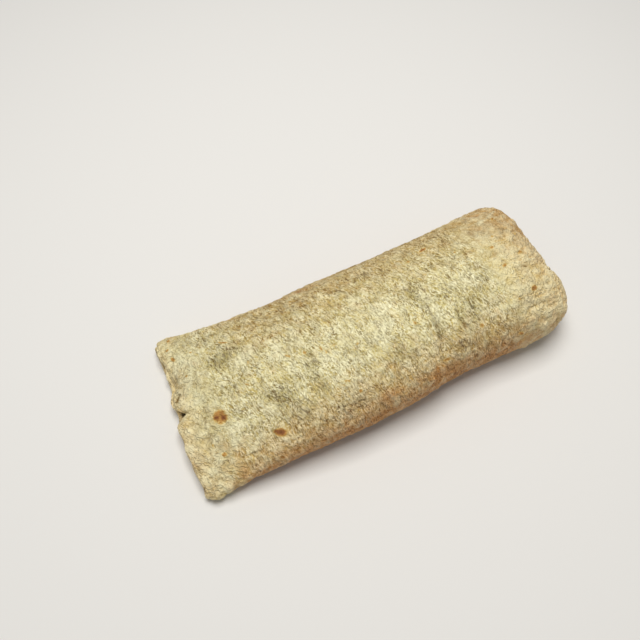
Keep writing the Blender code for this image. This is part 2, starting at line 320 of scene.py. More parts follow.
def outward(surface):
    """Unit normals of a grid of points whose rows close on themselves."""
    along = np.gradient(surface, axis=0)
    around = np.roll(surface, -1, axis=1) - np.roll(surface, 1, axis=1)
    normal = np.cross(around, along)
    return normal / np.linalg.norm(normal, axis=-1, keepdims=True)


def raise_lumps(roll):
    """Presses the filling's lumps and dips, and the right end's crease, into the upper skin."""
    x, y, z = roll[..., 0], roll[..., 1], roll[..., 2]
    rise = np.zeros_like(x)
    for place, across, reach, reach_across, height in LUMPS:
        rise += height * hill(x, place, reach) * hill(y, across, reach_across)
    across, width, depth, length = RIGHT_CREASE
    rise -= depth * hill(y, across, width) * ease(RIGHT_RIM - length, RIGHT_RIM, x)
    free = ease(*FREE_SIDE, z / z.max(axis=1, keepdims=True))
    roll += outward(roll) * (rise * free)[..., None]


def way_to_slit(rim, slit):
    """Direction and distance, across the end, from each rim point to the closing slit."""
    level, bow, from_front, from_back = slit
    y, z = rim[:, 1], rim[:, 2]
    slit_y = np.clip(y, y.min() + from_front, y.max() - from_back)
    off_middle = 2.0 * (slit_y - y.min()) / (y.max() - y.min()) - 1.0
    slit_z = z.max() * (level + bow * off_middle**2)
    way = np.stack((np.zeros_like(y), slit_y - y, slit_z - z), axis=-1)
    distance = np.linalg.norm(way, axis=-1, keepdims=True)
    return way / distance, distance


def end_folds(rim, side, slit, cushion, shift):
    """Rings from a rim in to the closing slit; side is -1 at the left end and 1 at the right.

    shift is the same function that moved the rim, so what comes in from above and below meets at the slit.
    """
    depth, bulge, groove, full_width = cushion
    direction, distance = way_to_slit(rim, slit)
    squeeze = np.minimum(1.0, FOLD_SHARE * distance / GROOVE_AT)
    width = (1.0 - SLIT_OPEN) * distance - GROOVE_AT * squeeze
    full = np.minimum(1.0, width / full_width)
    pleats = waves(PLEATS, rim)[:, None]
    rise = rim[:, 2].max()
    rings = []
    for angle in np.linspace(0.0, math.pi, FOLD_STEPS + 1)[1:]:
        inward = FOLD * (1.0 - math.cos(angle)) * squeeze
        rings.append((inward, FOLD * math.sin(angle) * squeeze))
    for angle in np.linspace(0.0, math.pi, CUSHION_STEPS + 1):
        share = 0.5 - 0.5 * math.cos(angle)
        inward = GROOVE_AT * squeeze + share * width
        sunk = groove + share * (depth - groove)
        rings.append((inward, (bulge * math.sin(angle) - sunk + pleats * math.sin(angle)) * full))
    out = rings[-1][1]
    rings += [((1.0 - gap) * distance, out - deeper * full) for deeper, gap in THROAT]
    placed = []
    for inward, out in rings:
        ring = rim + direction * inward
        ring[:, 0] += shift(ring, rise) - shift(rim, rise) + side * np.ravel(out)
        placed.append(ring)
    return placed


def skin_form():
    """Every ring of the smooth skin, from the left end's slit to the right end's, and its u and v."""
    roll = roll_sections(roll_places(PLACES))
    shift_rims(roll)
    raise_lumps(roll)
    left = end_folds(roll[0], -1.0, LEFT_SLIT, LEFT_CUSHION, left_shift)
    right = end_folds(roll[-1], 1.0, RIGHT_SLIT, RIGHT_CUSHION, right_shift)
    rings = np.array(left[::-1] + list(roll) + right)
    ends = len(left), len(right)
    return rings, skin_places(rings, ends)


def skin_places(rings, ends):
    """u and v of every point: along the skin from the roll's middle, and round it from its top line."""
    left, right = ends
    step = np.linalg.norm(np.diff(rings, axis=0), axis=-1)
    u = rings[..., 0].copy()
    for i in range(left - 1, -1, -1):
        u[i] = u[i + 1] - step[i]
    for i in range(len(rings) - right, len(rings)):
        u[i] = u[i - 1] + step[i - 1]
    roll = rings[left : len(rings) - right]
    seam = TOP_STEPS + EDGE_STEPS + FLAP_STEPS  # first column behind the seam
    unrolled = np.roll(roll, -seam, axis=1)
    across = np.linalg.norm(np.diff(unrolled, axis=1), axis=-1)
    run = np.hstack((np.zeros((len(roll), 1)), np.cumsum(across, axis=1)))
    run = np.roll(run, seam, axis=1)
    v = run[:, TOP_STEPS // 2][:, None] - run
    v = np.vstack((np.repeat(v[:1], left, axis=0), v, np.repeat(v[-1:], right, axis=0)))
    return u, v


# ======== Relief ========

SWELL = (0.0150, 0.00060)  # broad unevenness of the filling: size, rise
PUFF = (0.0052, 0.00050)  # soft puffs of the dough
BLISTER = (0.0034, 0.00040)  # small round blisters, in the middle of the roll
PILLOW = (0.0055, 0.00105)  # larger ones, towards both ends
DOME_RADIUS = 0.62  # the radius of either, in the size of its cell
GRAIN = (0.0016, 0.00022)  # fine unevenness of the dough
WRINKLE = (0.0022, 0.0080, 0.00036)  # stretch lines round the roll: width, length, rise
RIDGE = (0.0100, 0.0026, 0.00045)  # soft ridges along the roll, at the right end: length, width, rise
WANDER = (0.0110, 0.0028)  # how the lines wander: size, reach
LEFT_CALM = (-0.1020, -0.0880)  # the stretch lines fade towards the left end, between these u
RIGHT_CALM = (0.0620, 0.0800)  # and towards the right end
CALM_WRINKLES = 0.3  # what is left of their relief there
RIM_CALM = 0.0060  # the relief is flatter at both rims, from this far in
RIM_SHARE = 0.45  # what is left of it at the rim itself
# Creases: from u, v to u, v, half width, depth; a ridge's depth is negative
CREASES = (
    (-0.108, 0.0103, -0.114, 0.0058, 0.0008, 0.001),
    (-0.102, 0.0081, -0.094, 0.0036, 0.0006, 0.0005),
    (-0.0921, 0.031, -0.0871, 0.0216, 0.0005, -0.00035),
    (-0.075, 0.0184, -0.0704, 0.0153, 0.0005, 0.00045),
    (-0.083, -0.0066, -0.0816, -0.0106, 0.0004, 0.0005),
    (-0.0711, -0.014, -0.07, -0.0206, 0.0005, 0.0005),
    (-0.1006, -0.0038, -0.1011, -0.0098, 0.0006, 0.00055),
    (-0.1018, -0.0128, -0.1045, -0.017, 0.0006, 0.0005),
    (-0.099, -0.0263, -0.0885, -0.0253, 0.0006, -0.0004),
    (-0.1025, -0.03, -0.0985, -0.0287, 0.0005, -0.00035),
    (-0.0955, -0.0385, -0.081, -0.0392, 0.0009, 0.0005),
    (-0.0335, -0.04, -0.0235, -0.0397, 0.0006, 0.0007),
    (-0.0386, -0.0368, -0.0358, -0.0394, 0.0005, 0.0005),
    (-0.0126, -0.006, -0.0132, -0.0235, 0.0004, 0.00035),
    (-0.0084, -0.0264, -0.0048, -0.0302, 0.0004, 0.00045),
    (-0.0368, 0.0307, -0.0341, 0.0297, 0.0005, 0.0006),
    (-0.0258, -0.011, -0.024, -0.022, 0.0004, -0.0003),
    (-0.0281, -0.0012, -0.0252, -0.0074, 0.0004, -0.0003),
    (0.025, -0.018, 0.0238, -0.032, 0.0016, 0.00045),
    (0.039, -0.022, 0.039, -0.033, 0.0012, 0.0004),
    (0.0345, 0.0183, 0.0408, 0.0204, 0.0005, -0.00035),
    (0.0358, 0.0128, 0.0398, 0.0157, 0.0005, -0.00035),
    (0.0795, 0.0232, 0.0925, 0.028, 0.0013, -0.00045),
    (0.09, 0.027, 0.104, 0.0308, 0.0014, -0.0005),
    (0.0815, 0.0208, 0.093, 0.025, 0.0006, 0.0005),
    (0.0795, 0.0064, 0.0836, 0.0074, 0.0005, 0.00055),
    (0.0865, -0.0115, 0.0925, -0.0153, 0.0005, 0.00075),
    (0.0915, -0.0153, 0.101, -0.0152, 0.0005, 0.00075),
    (0.09, -0.0093, 0.101, -0.0126, 0.001, -0.0005),
    (0.0935, -0.0096, 0.106, -0.0092, 0.0005, 0.00055),
    (0.101, -0.02, 0.117, -0.0268, 0.0006, 0.0008),
    (0.0905, -0.0308, 0.096, -0.0324, 0.0004, 0.00035),
)
CREASE_WOBBLE = (0.0035, 0.0005)  # how a crease strays from its line: size, reach
CREASE_TAPER = 0.25  # share of a crease's length over which each end fades out


# Steps that take each seed to its own stretch of noise, and each cell to its own height
NOISE_STEP = (17.3, 5.1, 9.7)
DOME_STEP = (3.7, 11.9, 6.1)
CELL_STEP = 7.31


def smooth_noise(places, seed):
    """Noise between about -1 and 1, with features one unit across."""
    start = np.array(NOISE_STEP) * seed
    shape = places.shape[:-1]
    flat = (places.reshape(-1, 3) + start).tolist()
    return np.array([noise.noise(place) for place in flat]).reshape(shape)


def domes(places, seed):
    """Rounded bumps, one in each of many uneven cells one unit across, each with its own height."""
    start = np.array(DOME_STEP) * seed
    shape = places.shape[:-1]
    values = []
    for place in (places.reshape(-1, 3) + start).tolist():
        distances, centres = noise.voronoi(place)
        height = 0.5 + 0.5 * noise.cell(centres[0] * CELL_STEP)
        values.append(height * max(0.0, 1.0 - (distances[0] / DOME_RADIUS) ** 2))
    return np.array(values).reshape(shape)


def streaking(u):
    """1 in the middle of the roll, where the dough is streaked, and 0 at its calmer ends."""
    return ease(*LEFT_CALM, u) * (1.0 - ease(*RIGHT_CALM, u))


def crease_line(u, v, start, end, width):
    """1 on the line from start to end, falling off to its sides and its ends."""
    run = np.array(end) - np.array(start)
    length = np.hypot(*run)
    run = run / length
    along = (u - start[0]) * run[0] + (v - start[1]) * run[1]
    off = (v - start[1]) * run[0] - (u - start[0]) * run[1]
    begun = ease(0.0, CREASE_TAPER * length, along)
    ended = ease((1.0 - CREASE_TAPER) * length, length, along)
    return hill(off, 0.0, width) * begun * (1.0 - ended)


def creased(rings, u, v):
    """How far the creases go in, and the ridges stand out as a negative depth."""
    size, reach = CREASE_WOBBLE
    stray_u = u + reach * smooth_noise(rings / size, 8)
    stray_v = v + reach * smooth_noise(rings / size, 9)
    depth = np.zeros_like(u)
    for start_u, start_v, end_u, end_v, half, most in CREASES:
        depth += most * crease_line(stray_u, stray_v, (start_u, start_v), (end_u, end_v), half)
    return depth


def ridged(places, seed):
    """Noise that comes to a crest of 1 on thin lines."""
    return 1.0 - 2.0 * np.abs(smooth_noise(places, seed))


def relief(rings, u, v):
    """How far the skin stands out from its smooth form, and its texture and creases apart."""
    calm = 1.0 - streaking(u)
    right = ease(*RIGHT_CALM, u)
    swell = SWELL[1] * smooth_noise(rings / SWELL[0], 1)
    puff = PUFF[1] * smooth_noise(rings / PUFF[0], 2)
    blister = (1.0 - calm) * BLISTER[1] * domes(rings / BLISTER[0], 3)
    pillow = calm * PILLOW[1] * domes(rings / PILLOW[0], 10)
    grain = GRAIN[1] * smooth_noise(rings / GRAIN[0], 4)
    size, reach = WANDER
    wander = reach * smooth_noise(rings / size, 5)
    width, length, rise = WRINKLE
    streak = np.stack(((u + wander) / width, v / length, 0.0 * u), axis=-1)
    wrinkle = (1.0 - (1.0 - CALM_WRINKLES) * calm) * rise * ridged(streak, 6)
    length, width, rise = RIDGE
    streak = np.stack((u / length, (v + wander) / width, 0.0 * u), axis=-1)
    ridge = right * rise * ridged(streak, 7)
    texture = puff + blister + pillow + grain + wrinkle + ridge
    near_rim = np.minimum(rings[..., 0] - LEFT_RIM, RIGHT_RIM - rings[..., 0])
    flat = RIM_SHARE + (1.0 - RIM_SHARE) * ease(0.0, RIM_CALM, near_rim)
    depth = creased(rings, u, v)
    return flat * (swell + texture) - depth, texture, depth


# ======== Marks on the skin ========

# Toasted spots: u, v, half length, half width, turn of the length from u towards v in degrees, how toasted
TOASTED = (
    (-0.0948, -0.0146, 0.0038, 0.004, 0, 0.72),
    (-0.097, -0.0142, 0.0012, 0.0014, 0, 0.5),
    (-0.0934, -0.0158, 0.0016, 0.0016, 20, 0.55),
    (-0.0712, -0.0354, 0.003, 0.002, -35, 1.1),
    (-0.0733, -0.0337, 0.0012, 0.0007, 0, 0.8),
    (-0.0677, -0.0361, 0.0018, 0.0006, -15, 0.3),
    (-0.1004, -0.0339, 0.0013, 0.0012, 0, 0.62),
    (-0.104, -0.0273, 0.0008, 0.0007, 0, 0.35),
    (-0.102, 0.0167, 0.0008, 0.0007, 0, 0.55),
    (-0.1065, 0.04, 0.001, 0.0008, 0, 0.75),
    (-0.1037, 0.0458, 0.001, 0.0008, 0, 0.8),
    (-0.1055, 0.0325, 0.002, 0.0009, 110, 0.55),
    (-0.0949, 0.0287, 0.0007, 0.0006, 0, 0.4),
    (-0.0779, 0.0252, 0.0031, 0.0005, -38, 0.55),
    (-0.0711, 0.0054, 0.0012, 0.0008, 70, 0.25),
    (-0.0761, -0.0055, 0.0018, 0.0007, -40, 0.25),
    (-0.0619, -0.0055, 0.0014, 0.0008, 0, 0.22),
    (-0.0523, -0.0015, 0.0019, 0.0006, -42, 0.38),
    (-0.0438, -0.0038, 0.0008, 0.0014, 0, 0.45),
    (-0.0356, -0.0058, 0.0006, 0.002, 8, 0.36),
    (-0.0342, -0.0088, 0.0006, 0.0014, 0, 0.26),
    (-0.0289, -0.0072, 0.0008, 0.0008, 0, 0.26),
    (-0.0177, -0.0119, 0.0011, 0.0006, 0, 0.32),
    (-0.0312, -0.0272, 0.0018, 0.0007, -20, 0.38),
    (-0.0336, -0.0282, 0.001, 0.0007, 0, 0.24),
    (-0.027, -0.0346, 0.001, 0.001, 0, 0.68),
    (-0.0528, 0.0157, 0.0012, 0.0006, 50, 0.26),
    (-0.0356, 0.0326, 0.0013, 0.0008, -30, 0.5),
    (0.0137, 0.0046, 0.001, 0.0009, 0, 0.3),
    (0.0148, -0.0157, 0.0008, 0.0012, 15, 0.44),
    (0.0107, -0.0356, 0.0011, 0.0007, 0, 0.3),
    (0.0342, 0.0064, 0.001, 0.0009, 0, 0.26),
    (0.0322, 0.02, 0.001, 0.0009, 0, 0.58),
    (0.0445, 0.0245, 0.0028, 0.0009, 20, 1.05),
    (0.0581, 0.0127, 0.0008, 0.0008, 0, 0.44),
    (0.0485, -0.0327, 0.0015, 0.0012, 0, 0.4),
    (0.0232, -0.0405, 0.0028, 0.0009, 0, 0.58),
    (0.0777, 0.0049, 0.0011, 0.001, 0, 0.55),
    (0.0772, -0.0082, 0.0016, 0.0009, 22, 0.66),
    (0.0832, 0.0119, 0.0008, 0.0009, 0, 0.45),
    (0.0922, -0.0042, 0.0016, 0.001, -10, 0.62),
    (0.094, 0.0248, 0.001, 0.0008, 0, 0.74),
    (0.0985, 0.0075, 0.0013, 0.0007, 10, 0.42),
    (0.0858, -0.0263, 0.0022, 0.0014, 12, 0.86),
    (0.0745, -0.0285, 0.0009, 0.0007, 0, 0.5),
    (0.103, -0.0338, 0.0013, 0.0006, 0, 0.5),
    (0.07, -0.0472, 0.0015, 0.001, -30, 0.95),
)
SPOT_EDGE = (0.35, 1.30)  # a toasted spot fades out between these, in sizes of the spot
HALO_EDGE = (0.80, 1.70)  # and its pale halo between these
# Damp patches, where the dough has gone olive grey: u, v, half width, half length, strength; pale is negative
DAMP = (
    (-0.084, 0.015, 0.006, 0.006, 0.85),
    (-0.086, -0.001, 0.005, 0.005, 0.6),
    (-0.079, 0.017, 0.003, 0.005, 0.4),
    (-0.063, -0.0195, 0.006, 0.005, 0.85),
    (-0.059, -0.03, 0.007, 0.005, 0.5),
    (-0.08, -0.029, 0.006, 0.004, 0.4),
    (-0.043, -0.024, 0.004, 0.007, 0.5),
    (-0.043, -0.009, 0.003, 0.006, 0.35),
    (-0.037, 0.023, 0.008, 0.005, 0.4),
    (-0.0125, -0.006, 0.0015, 0.007, 0.35),
    (-0.012, 0.02, 0.004, 0.005, 0.45),
    (0.004, 0.024, 0.005, 0.005, 0.5),
    (0.003, 0.007, 0.003, 0.0035, 0.5),
    (0.023, -0.001, 0.004, 0.006, 0.7),
    (0.0248, -0.01, 0.0025, 0.005, 0.5),
    (0.025, -0.025, 0.0025, 0.008, 0.65),
    (0.006, -0.029, 0.006, 0.0035, 0.6),
    (0.037, -0.009, 0.004, 0.005, 0.45),
    (0.035, -0.036, 0.005, 0.005, 0.6),
    (0.039, -0.027, 0.003, 0.006, 0.55),
    (0.047, -0.022, 0.005, 0.005, 0.5),
    (0.045, -0.041, 0.007, 0.004, 0.5),
    (0.064, -0.007, 0.004, 0.005, 0.45),
    (0.0932, 0.0044, 0.0015, 0.0009, 0.8),
    (0.093, 0.013, 0.005, 0.0025, 0.4),
    (0.075, -0.033, 0.006, 0.003, 0.3),
    (0.076, -0.043, 0.005, 0.004, 0.35),
    (-0.035, -0.04, 0.012, 0.003, 0.4),
    (-0.104, 0.0, 0.007, 0.007, -0.5),
    (-0.096, 0.019, 0.007, 0.008, -0.45),
    (-0.09, -0.022, 0.01, 0.005, -0.45),
    (-0.072, 0.008, 0.004, 0.006, -0.3),
    (-0.054, 0.003, 0.006, 0.004, -0.3),
    (-0.033, -0.015, 0.006, 0.009, -0.5),
    (-0.004, -0.004, 0.008, 0.007, -0.55),
    (-0.001, 0.013, 0.004, 0.005, -0.4),
    (0.031, -0.016, 0.005, 0.005, -0.5),
    (0.017, -0.022, 0.006, 0.004, -0.4),
    (0.035, 0.004, 0.006, 0.004, -0.2),
    (0.084, -0.001, 0.008, 0.004, -0.25),
    (0.09, 0.007, 0.005, 0.0025, -0.4),
    (0.11, -0.0215, 0.008, 0.0028, -0.9),
)
# Patches of yellower dough: u, v, half width, half length, strength
YELLOWED = (
    (-0.062, 0.018, 0.006, 0.005, 0.5),
    (-0.0275, 0.013, 0.0045, 0.008, 0.55),
    (-0.07, -0.011, 0.008, 0.006, 0.35),
    (-0.032, -0.027, 0.005, 0.004, 0.5),
    (-0.004, -0.005, 0.009, 0.008, 0.3),
    (0.027, 0.016, 0.004, 0.004, 0.45),
    (0.058, 0.003, 0.007, 0.008, 0.7),
    (0.082, 0.01, 0.009, 0.008, 0.6),
    (0.077, -0.012, 0.009, 0.007, 0.6),
    (0.093, -0.004, 0.006, 0.006, 0.4),
    (0.085, -0.03, 0.004, 0.004, 0.6),
)
# Browned patches, without a clear edge: u, v, half width, half length, strength
BROWNED = (
    (0.019, -0.047, 0.01, 0.006, 0.5),
    (-0.014, -0.043, 0.006, 0.004, 0.45),
    (0.088, 0.034, 0.006, 0.0035, 0.45),
    (-0.027, 0.04, 0.012, 0.003, 0.5),
)
# The skin turns tan towards the back edge and the front edge, between these v, and brown near the table; the
# back's darkening is partly painted shade, and the front's and the foot's browns partly painted reddish
# bounce light
BACK_TAN_AND_SHADE = (-0.0080, 0.0400)
FRONT_TAN_AND_BOUNCE = (-0.0180, -0.0420)
BACK_FOOT = (0.0380, 0.0620)
FRONT_FOOT = (-0.0380, -0.0560)
BACK_FOOT_SHARE = 0.8  # the back's foot is less brown than the front's
# Towards the ends, between these u, the tan gives way to cream, and the cream turns pink, its red partly
# painted warm bounce light
LEFT_CREAM = (-0.0600, -0.0980)
RIGHT_CREAM = (0.0600, 0.0880)
LEFT_ROSY_AND_BOUNCE = (-0.1020, -0.1240)
RIGHT_ROSY_AND_BOUNCE = (0.0680, 0.1100)
LEFT_BARE = (-0.0940, -0.1080)  # here the foot loses its brown, and the front most of its tan
# How much of the front's tan is lost to the cream on the left, to the bare left end and to the cream on the
# right, and how much of the foot's brown to the cream on the right
LEFT_FRONT_LOSS, BARE_FRONT_LOSS, RIGHT_FRONT_LOSS, RIGHT_FOOT_LOSS = 0.3, 0.6, 0.8, 0.6
# But the right end is darkened towards its rim with painted shade, between these u, except on its front side,
# between these v
RIGHT_RIM_SHADE = (0.0820, 0.1120)
RIM_SHADE_FRONT = (-0.0280, -0.0060)
RIM_SHADE_SHARE = 0.7


def patches(u, v, table):
    """Soft patches laid one over the other."""
    total = np.zeros_like(u)
    for at_u, at_v, reach_u, reach_v, strength in table:
        total += strength * hill(u, at_u, reach_u) * hill(v, at_v, reach_v)
    return total


def toasting(u, v):
    """How toasted the skin is, and its halos."""
    toast, halo = np.zeros_like(u), np.zeros_like(u)
    for at_u, at_v, length, width, turn, strength in TOASTED:
        turn = math.radians(turn)
        along = (u - at_u) * math.cos(turn) + (v - at_v) * math.sin(turn)
        off = (v - at_v) * math.cos(turn) - (u - at_u) * math.sin(turn)
        reach = np.hypot(along / length, off / width)
        toast += strength * (1.0 - ease(*SPOT_EDGE, reach))
        halo = np.maximum(halo, strength * (1.0 - ease(*HALO_EDGE, reach)))
    return toast, halo


def share_of(edges, value):
    """0 at the first edge, 1 at the second, and straight between."""
    low, high = edges
    return np.clip((value - low) / (high - low), 0.0, 1.0)


def tan_shade_and_bounce_marks(u, v):
    """How tan the skin has turned towards its back and its front, how brown at its foot, and how pink: the
    back partly painted shade, the front and foot partly painted reddish bounce light, the pink partly painted
    warm bounce light.
    """
    left, right, bare = share_of(LEFT_CREAM, u), share_of(RIGHT_CREAM, u), share_of(LEFT_BARE, u)
    # painted shade at the right end's rim, carried in the back's mark
    rim = share_of(RIGHT_RIM_SHADE, u) * share_of(RIM_SHADE_FRONT, v)
    back = share_of(BACK_TAN_AND_SHADE, v) * (1.0 - left) + RIM_SHADE_SHARE * rim
    front = share_of(FRONT_TAN_AND_BOUNCE, v) * (1.0 - LEFT_FRONT_LOSS * left - BARE_FRONT_LOSS * bare)
    front *= 1.0 - RIGHT_FRONT_LOSS * right
    foot = share_of(FRONT_FOOT, v) * (1.0 - RIGHT_FOOT_LOSS * right)
    foot += BACK_FOOT_SHARE * share_of(BACK_FOOT, v)
    return {
        "back_tan_and_shade": back,
        "front_tan_and_bounce": front,
        "foot_tan_and_bounce": foot * (1.0 - bare) + patches(u, v, BROWNED),
        "rosy_and_bounce": share_of(LEFT_ROSY_AND_BOUNCE, u) + share_of(RIGHT_ROSY_AND_BOUNCE, u),
    }


# ======== Mesh ========


def skin_mesh(rings, marks):
    """One closed mesh through the rings. marks are named values, one for each point."""
    count, columns = rings.shape[:2]
    index = np.arange(count * columns).reshape(count, columns)
    beside = np.roll(index, -1, axis=1)
    quads = np.stack((index[:-1], beside[:-1], beside[1:], index[1:]), axis=-1).reshape(-1, 4)
    faces = quads.tolist() + [index[0][::-1].tolist(), index[-1].tolist()]
    mesh = bpy.data.meshes.new("tortilla")
    mesh.from_pydata(rings.reshape(-1, 3).tolist(), [], faces)
    for name, values in marks.items():
        kind, field = ("FLOAT_VECTOR", "vector") if values.ndim == 3 else ("FLOAT", "value")
        attribute = mesh.attributes.new(name, kind, "POINT")
        attribute.data.foreach_set(field, values.astype(np.float32).ravel())
    mesh.shade_smooth()
    return mesh


def make_tortilla():
    """The dressed skin, moved to where the solid stands."""
    rings, (u, v) = skin_form()
    low, high = rings.min(axis=(0, 1)), rings.max(axis=(0, 1))
    total, texture, depth = relief(rings, u, v)
    skin = rings + outward(rings) * total[..., None]
    skin[..., 2] = np.maximum(skin[..., 2], 0.0)  # what meets the table is pressed flat
    cad_low, cad_high = (np.array(corner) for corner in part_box("burrito"))
    skin += (cad_low + cad_high - low - high) / 2.0 * (1.0, 1.0, 0.0)
    toast, halo = toasting(u, v)
    marks = {
        "skin": np.stack((u, v, 0.0 * u), axis=-1) * 1000.0,
        "texture": texture / TEXTURE_RISE,
        "crease": depth / CREASE_DEPTH,
        "streaked": streaking(u),
        "damp": patches(u, v, DAMP),
        "yellowed": patches(u, v, YELLOWED),
        "toast": toast,
        "halo": halo,
    }
    marks.update(tan_shade_and_bounce_marks(u, v))
    mesh = skin_mesh(skin, marks)
    mesh.materials.append(tortilla_material())
    tortilla = bpy.data.objects.new("tortilla_roll", mesh)
    bpy.context.scene.collection.objects.link(tortilla)
    return tortilla


# ======== Material ========

TEXTURE_RISE = 0.0006  # relief that counts as full, up or down
CREASE_DEPTH = 0.0007  # and the depth of a full crease
SLANT = 0.25  # the strands run slightly askew to the roll: u for each v
DRIFT_SIZE = (11.0, 11.0)  # they also drift to and fro, over this much of u and v
DRIFT = (6.0, 5.0, 0.0)  # by up to half of this

CREAM = (0.740, 0.635, 0.305)
# pale flour of the strands; also the colour of the painted highlights on crests and ridges
FLOUR_AND_HIGHLIGHT = (0.980, 0.930, 0.620)
BLOOM = (0.860, 0.840, 0.560)
STRAW = (0.690, 0.475, 0.150)
AMBER = (0.510, 0.260, 0.065)
BROWN = (0.310, 0.120, 0.035)
CHAR = (0.150, 0.060, 0.022)
# What the dough's own colour is multiplied by
THIN = (0.910, 0.885, 0.700)
YELLOW = (1.040, 0.955, 0.680)
OLIVE = (0.660, 0.640, 0.560)
DUN = (0.740, 0.665, 0.600)
# tan of the back edge, partly painted shade
BACK_BROWN_AND_SHADE = (0.655, 0.495, 0.320)
# tan of the front edge, partly painted reddish bounce light
FRONT_BROWN_AND_BOUNCE = (0.870, 0.680, 0.540)
# brown of the foot, partly toasting, partly painted reddish bounce light
FOOT_BROWN_AND_BOUNCE = (0.880, 0.580, 0.370)
# pink of the ends, its red raised above 1 as painted warm bounce light
ROSY_AND_BOUNCE = (1.080, 0.920, 0.820)
# dark of the pits and hollows: partly the dough's darker specks, partly painted shade in hollows and creases
PIT_AND_SHADE = (0.350, 0.260, 0.130)
# painted shade in the valleys of the relief
SHADE = (0.660, 0.620, 0.540)

# Broad fields: a mark and its share; two noises, the second drifting with the strands, each with its size,
# seed and share; an offset; and the sums between which the field sets in
YELLOW_FIELD = (("yellowed", 1.0), ((18.0, 18.0), 7, 1.6), ((3.5, 3.5), 14, 1.2), -1.35, (-0.10, 0.80))
DAMP_FIELD = (("damp", 1.25), ((15.0, 13.0), 8, 1.3), ((4.0, 6.5), 9, 1.6), -1.45, (-0.25, 0.95))
DUN_FIELD = (("streaked", -0.25), ((14.0, 16.0), 15, 1.8), ((4.0, 6.0), 16, 1.2), -1.25, (-0.05, 0.75))
BLOOM_FIELD = (("damp", -0.9), ((9.0, 10.0), 25, 2.6), ((3.0, 4.5), 26, 1.6), -2.05, (-0.20, 0.90))
BLOOM_SHARE = 0.60
FLOUR_SIZE, FLOUR_RANGE = (6.0, 8.0), (0.15, 1.0)  # how the flour on the strands comes and goes

# The tans, partly painted shade at the back and painted reddish bounce light at the front and foot: mark,
# tint, and how far the pale strands are spared. Two noises make their edges uneven
TANS_SHADE_AND_BOUNCE = (
    ("back_tan_and_shade", BACK_BROWN_AND_SHADE, 0.35),
    ("front_tan_and_bounce", FRONT_BROWN_AND_BOUNCE, 0.35),
    ("foot_tan_and_bounce", FOOT_BROWN_AND_BOUNCE, 0.10),
)
TINT_EDGE_BROAD = ((7.0, 7.0), 10)
TINT_EDGE_FINE = ((2.6, 3.4), 17)

# Fine lines: size, seed, half width of the line in noise
LONG_STRANDS = ((1.0, 5.6), 2, 0.060)
STRANDS = ((1.05, 2.7), 3, 0.052)
THREADS = ((1.7, 1.7), 23, 0.045)
OUTLINES = ((3.6, 3.0), 21, 0.040)
CRUMPLES = ((3.2, 3.2), 20, 0.120)
# Fine flecks: size, seed, and the noise between which they set in
FLECKS = ((0.66, 1.35), 18, 0.53, 0.63)
GROOVES = ((0.9, 4.6), 5, 0.50, 0.62)
PITS = ((0.74, 1.6), 4, 0.52, 0.63)
PUFFS = ((3.0, 2.4), 22, 0.44, 0.66)
DIMPLES = ((1.2, 1.2), 24, 0.56, 0.68)
BREAKS = ((1.6, 1.6), 19, 0.30, 0.60)

# A spot's colours as it toasts: colour, the toast between which it sets in, and its most share
TOAST = (
    (STRAW, 0.05, 0.30, 1.0),
    (AMBER, 0.22, 0.50, 1.0),
    (BROWN, 0.64, 1.04, 1.0),
    (CHAR, 1.10, 1.60, 0.9),
)
HALO_SHARE = 0.30
RAGGED_SIZE, RAGGED_REACH = (1.3, 1.3), 1.4  # what makes a spot's edge ragged

SHINE = 0.35
BUMP_HEIGHT = 0.0004


